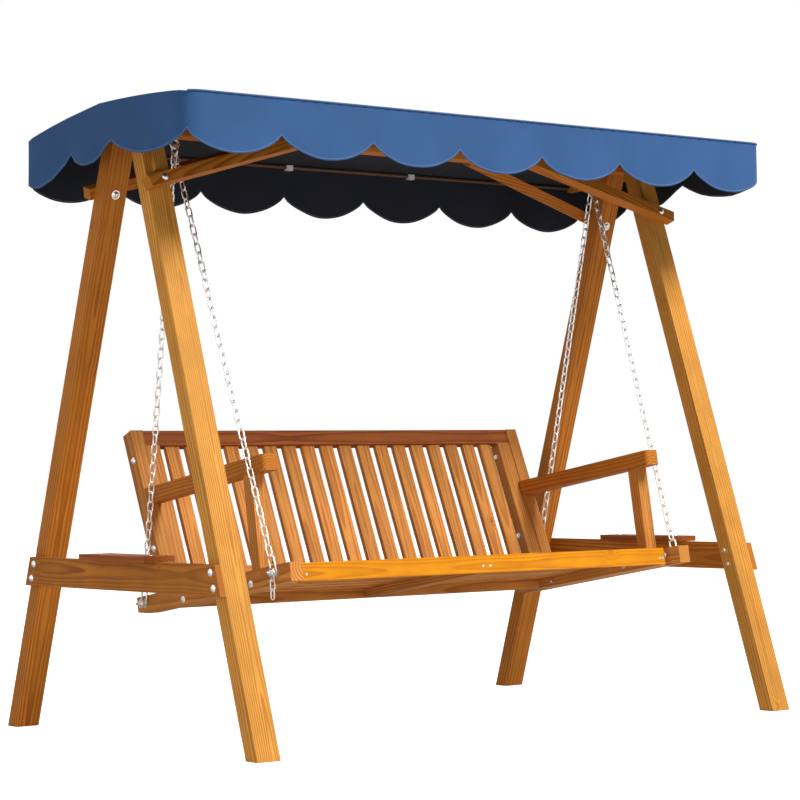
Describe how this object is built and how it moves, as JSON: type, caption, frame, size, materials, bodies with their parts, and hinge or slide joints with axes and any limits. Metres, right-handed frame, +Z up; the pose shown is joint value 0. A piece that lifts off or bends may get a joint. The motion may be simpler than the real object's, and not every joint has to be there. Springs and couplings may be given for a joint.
{
  "type": "porch swing",
  "caption": "Timber porch swing: a slatted bench on chains between two A-frames, with side trays and a tilting fabric canopy with a scalloped edge.",
  "frame": {"origin": "on the ground under the middle of the frame", "axes": "+X to the sitter's left along the bench (right in the front view), +Y to the back of the bench, +Z up"},
  "size_m": [2.1, 1.256, 1.706],
  "materials": {
    "larch": "stained, satin",
    "larch_pale": "stained, satin",
    "zinc": "bright zinc plated",
    "canopy_cloth": "matt woven cloth",
    "pole_paint": "brown satin paint",
    "clip_plastic": "matt white"
  },
  "bodies": {
    "frame": {"beam_top": "larch", "frame_bolts": "zinc", "frame_nuts": "zinc", "frame_washers": "zinc", "hanger_eyes": "zinc", "hanger_nuts": "zinc", "leg_cleats": "larch", "leg_front_left": "larch", "leg_front_right": "larch", "leg_rear_left": "larch", "leg_rear_right": "larch", "strut_front_left": "larch", "strut_front_right": "larch", "strut_rear_left": "larch", "strut_rear_right": "larch", "strut_spacers": "larch", "tie_lower_left": "larch", "tie_lower_right": "larch", "tray_left": "larch", "tray_right": "larch", "tray_screws": "zinc"},
    "bench": {"arm_post_left": "larch", "arm_post_right": "larch", "armrest_left": "larch", "armrest_right": "larch", "back_bottom_rail": "larch", "back_end_board_left": "larch", "back_end_board_right": "larch", "back_slats": "larch", "back_top_rail": "larch", "bearer_left": "larch", "bearer_middle": "larch", "bearer_right": "larch", "bench_bolts": "zinc", "bench_nuts": "zinc", "bench_screws": "zinc", "bench_washers": "zinc", "chain_front_left": "zinc", "chain_front_right": "zinc", "chain_rear_left": "zinc", "chain_rear_right": "zinc", "chain_rings": "zinc", "chain_tail": "zinc", "rail_left": "larch", "rail_right": "larch", "seat_front_slat": "larch_pale", "seat_rear_rail": "larch", "seat_slats": "larch", "stile_left": "larch", "stile_right": "larch"},
    "canopy": {"canopy_arm_left": "larch", "canopy_arm_right": "larch", "canopy_clips": "clip_plastic", "canopy_cloth": "canopy_cloth", "canopy_pivot_bolts": "zinc", "canopy_pole_front": "pole_paint", "canopy_pole_rear": "pole_paint", "canopy_pole_ridge": "pole_paint"}
  },
  "joints": [
    {"name": "bench_swing", "type": "hinge", "parent": "frame", "child": "bench", "pos_m": [0, 0, 1.61], "axis": [1, 0, 0], "range_deg": [-25, 25]},
    {"name": "canopy_tilt", "type": "hinge", "parent": "frame", "child": "canopy", "pos_m": [0, 0, 1.66], "axis": [1, 0, 0], "range_deg": [-8, 8]}
  ]
}
